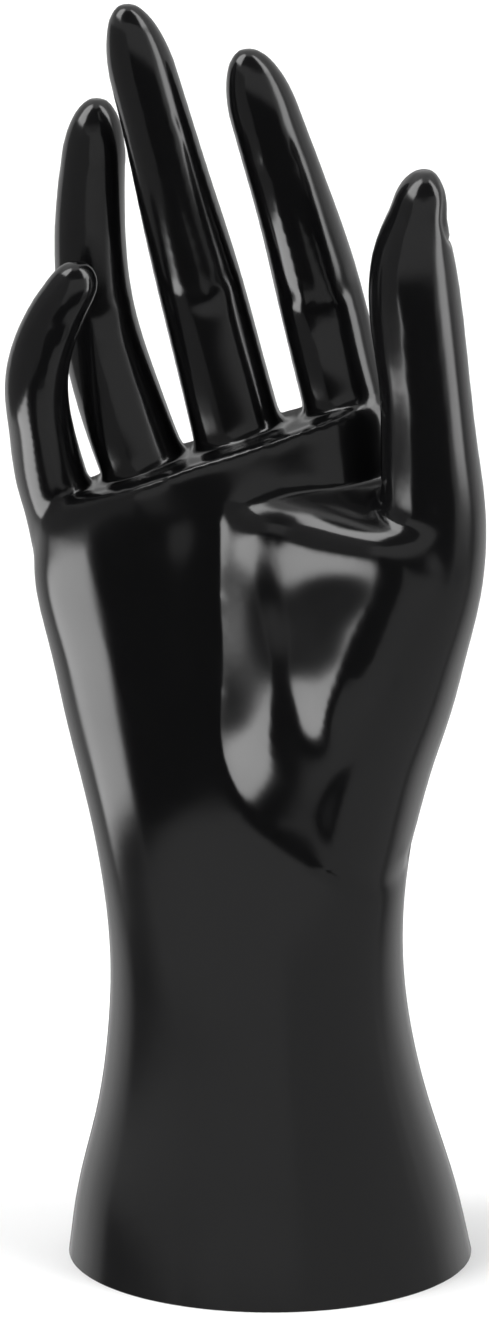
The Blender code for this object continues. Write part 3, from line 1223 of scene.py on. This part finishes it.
class DirectionPainter(Wiring):
    """Nodes that tell where a ray of the world points, and lay soft windows of light there."""

    def __init__(self, tree: bpy.types.NodeTree) -> None:
        """Finds a ray's angle round the hand and its angle above the horizon."""
        super().__init__(tree)
        way = self.add("ShaderNodeTexCoord").outputs["Generated"]
        x, y, z = self.add("ShaderNodeSeparateXYZ", {"Vector": way}).outputs
        turned = self.maths("ARCTAN2", x, self.maths("MULTIPLY", y, -1.0))
        self.round = self.maths("DEGREES", turned)
        self.above = self.maths("DEGREES", self.maths("ARCSINE", z))

    def between(self, angle: Value, low: float, high: float, soft: float) -> Socket:
        """Is 1 where an angle lies between two edges, and falls smoothly to 0 across each.

        Args:
            angle: The output that holds the angle.
            low: The lower edge.
            high: The upper edge.
            soft: Half the width of the fall.

        Returns:
            The output from 0 to 1.
        """
        past_low = self.step(angle, low - soft, low + soft)
        past_high = self.step(angle, high - soft, high + soft)
        return self.maths("MULTIPLY", past_low, self.maths("SUBTRACT", 1.0, past_high))

    def blend(self, light: Value, window: SoftWindow) -> Socket:
        """Lays a window over the light so far.

        Args:
            light: The light so far, an output or a number.
            window: The patch to lay.

        Returns:
            The output with the patch laid.
        """
        sides = self.between(self.round, window.west, window.east, window.soft)
        ends = self.between(self.above, window.low, window.high, window.soft)
        laid = self.mixed(self.maths("MULTIPLY", sides, ends), light, window.light)
        laid.node.label = window.name
        return laid


@dataclass(frozen=True)
class Studio:
    """The white studio: pale floor, and surroundings that the gloss mirrors.

    around is the surroundings' light outside the windows, and backdrop what the camera sees there.
    """

    floor_reach: float = 12.0
    floor_colour: tuple[float, float, float, float] = (0.93, 0.93, 0.93, 1.0)
    around: float = 1.0
    backdrop: float = 1.0
    windows: tuple[SoftWindow, ...] = (
        SoftWindow("room_front", -100.0, 100.0, -6.0, 28.0, 0.55),
        SoftWindow("dark_front", -46.0, 50.0, -90.0, -6.0, 0.03),
        SoftWindow("dark_left", -150.0, -46.0, -90.0, -6.0, 0.15, 5.0),
        SoftWindow("dark_right", 50.0, 150.0, -90.0, -6.0, 0.25, 8.0),
        SoftWindow("dark_above", -60.0, 60.0, 28.0, 75.0, 0.08, 5.0),
        SoftWindow("strip_left_low", -98.0, -46.0, -72.0, -21.0, 6.0, 3.5),
        SoftWindow("strip_left_high", -100.0, -52.0, 28.0, 75.0, 6.0, 4.0),
        SoftWindow("side_right", 52.0, 84.0, -20.0, 24.0, 0.95, 9.0),
        SoftWindow("strip_right_high", 56.0, 84.0, 28.0, 75.0, 6.0, 4.0),
        SoftWindow("dark_behind_left", -200.0, -164.0, -90.0, 14.0, 0.12, 8.0),
        SoftWindow("dark_behind_right", 164.0, 200.0, -90.0, 14.0, 0.12, 8.0),
        SoftWindow("room_left", -164.0, -100.0, -90.0, 45.0, 0.7, 8.0),
        SoftWindow("room_right", 100.0, 164.0, -90.0, 45.0, 0.7, 8.0),
        SoftWindow("back_left", -140.0, -112.0, -50.0, -4.0, 0.95, 10.0),
        SoftWindow("back_right", 112.0, 140.0, -50.0, -4.0, 0.95, 10.0),
    )
    boards: tuple[Board, ...] = (
        Board("black_card", -68.0, 90.0, 150.0, 130.0, 260.0, 0.25, 5.0),
        Board("finger_light", 68.0, 230.0, 130.0, 105.0, 380.0, 5.0, 40.0),
        Board("low_grey", 48.0, 150.0, 230.0, -200.0, 100.0, 0.45, 20.0),
        Board("low_front", 5.0, 152.0, 150.0, -250.0, 15.0, 0.45, 25.0),
    )

    def build(self) -> list[bpy.types.Object]:
        """Makes the surroundings, the floor and the boards.

        Returns:
            The floor and the boards.
        """
        self.add_world()
        return [self.add_floor(), *(board.build() for board in self.boards)]

    def add_floor(self) -> bpy.types.Object:
        """Lays the pale floor.

        Returns:
            The floor, which the gloss doesn't mirror.
        """
        bm = bmesh.new()
        bmesh.ops.create_grid(bm, x_segments=2, y_segments=2, size=self.floor_reach)
        mesh = mesh_from(bm, "floor")
        floor = add_object("floor", mesh)
        material = bpy.data.materials.new("pale_floor")
        material.use_nodes = True
        inputs = material.node_tree.nodes["Principled BSDF"].inputs
        inputs["Base Color"].default_value = self.floor_colour
        inputs["Roughness"].default_value = 1.0
        inputs["Specular IOR Level"].default_value = 0.0
        mesh.materials.append(material)
        floor.visible_glossy = False
        floor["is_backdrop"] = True
        return floor

    def add_world(self) -> None:
        """Paints the surroundings by direction, and the plain backdrop for the camera."""
        world = bpy.data.worlds.new("studio")
        bpy.context.scene.world = world
        world.use_nodes = True
        painter = DirectionPainter(world.node_tree)
        light = self.around
        for window in self.windows:
            light = painter.blend(light, window)
        seen = painter.add("ShaderNodeLightPath").outputs["Is Camera Ray"]
        background = world.node_tree.nodes["Background"]
        painter.feed(background.inputs["Strength"], painter.mixed(seen, light, self.backdrop))
        painter.feed(background.inputs["Color"], WHITE)


@dataclass(frozen=True)
class Viewpoint:
    """The photograph's viewpoint: its target, distance, height angle and lens."""

    target: tuple[float, float, float] = (-4.8, 0.0, 122.4)
    distance: float = 900.0
    elevation: float = 15.0
    lens: float = 127.0
    sensor: float = 36.0

    def build(self) -> bpy.types.Object:
        """Makes the camera.

        Returns:
            The camera, which is the scene's own.
        """
        data = bpy.data.cameras.new("camera")
        data.lens = self.lens
        data.sensor_width = self.sensor
        camera = add_object("camera", data)
        lift = math.radians(self.elevation)
        back = Vector((0.0, -math.cos(lift), math.sin(lift)))
        camera.location = (Vector(self.target) + self.distance * back) * MM
        camera.rotation_euler = (math.radians(90.0 - self.elevation), 0.0, 0.0)
        bpy.context.scene.camera = camera
        return camera


def main() -> None:
    """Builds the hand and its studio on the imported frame."""
    logging.basicConfig(level=logging.INFO, format="%(message)s")
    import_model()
    cad_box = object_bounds()
    bpy.context.scene.view_settings.view_transform = "Standard"
    LOG.info("%s is set", Viewpoint().build().name)
    for piece in Studio().build():
        LOG.info("%s stands in the studio", piece.name)
    skin = Hand().build(cad_box)
    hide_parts(NODE)
    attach(skin, "root")
    LOG.info("%s: %d faces", skin.name, len(skin.data.polygons))


if __name__ == "__main__":
    main()
